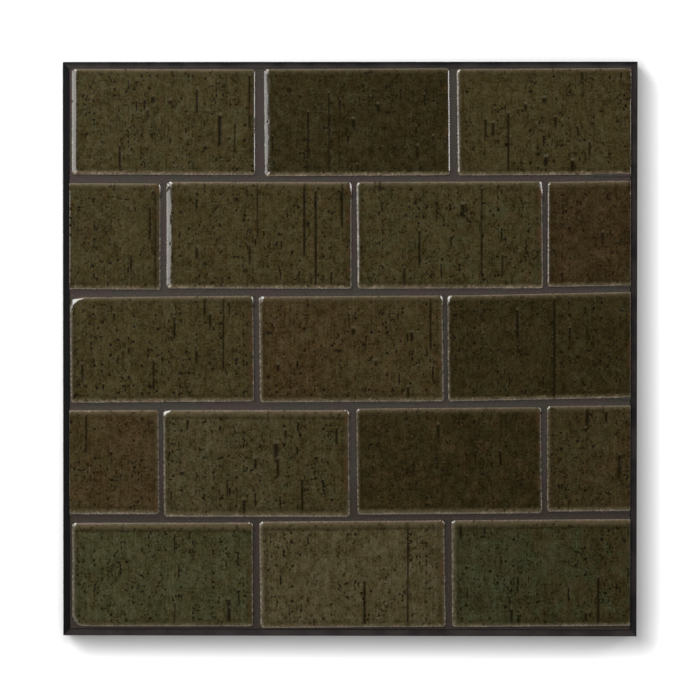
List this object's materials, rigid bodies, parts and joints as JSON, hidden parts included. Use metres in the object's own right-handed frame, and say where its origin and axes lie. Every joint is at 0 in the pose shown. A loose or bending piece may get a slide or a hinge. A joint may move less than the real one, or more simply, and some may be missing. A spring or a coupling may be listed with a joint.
{
  "type": "glazed tile sample panel",
  "caption": "Square sample panel of hand-laid olive-green glazed ceramic tiles in running bond, grouted on a backer board with black edge strips.",
  "frame": {"origin": "centre of the panel's flat back face", "axes": "+Z out through the tile faces, +Y towards the first course of tiles, +X to the right as the faces are seen"},
  "size_m": [0.3048, 0.3048, 0.0159],
  "materials": {
    "glazed_tile": "glossy olive glaze, pitted and streaked",
    "grout": "matt sanded cement grout",
    "edge_strip": "satin black paint",
    "backer_board": "plain fibreboard"
  },
  "bodies": {
    "root": {"backer_board": "backer_board", "grout": "grout", "edge_strip_bottom": "edge_strip", "edge_strip_right": "edge_strip", "edge_strip_top": "edge_strip", "edge_strip_left": "edge_strip", "tile_1_1": "glazed_tile", "tile_1_2": "glazed_tile", "tile_1_3": "glazed_tile", "tile_2_1": "glazed_tile", "tile_2_2": "glazed_tile", "tile_2_3": "glazed_tile", "tile_2_4": "glazed_tile", "tile_3_1": "glazed_tile", "tile_3_2": "glazed_tile", "tile_3_3": "glazed_tile", "tile_4_1": "glazed_tile", "tile_4_2": "glazed_tile", "tile_4_3": "glazed_tile", "tile_4_4": "glazed_tile", "tile_5_1": "glazed_tile", "tile_5_2": "glazed_tile", "tile_5_3": "glazed_tile"}
  },
  "joints": []
}
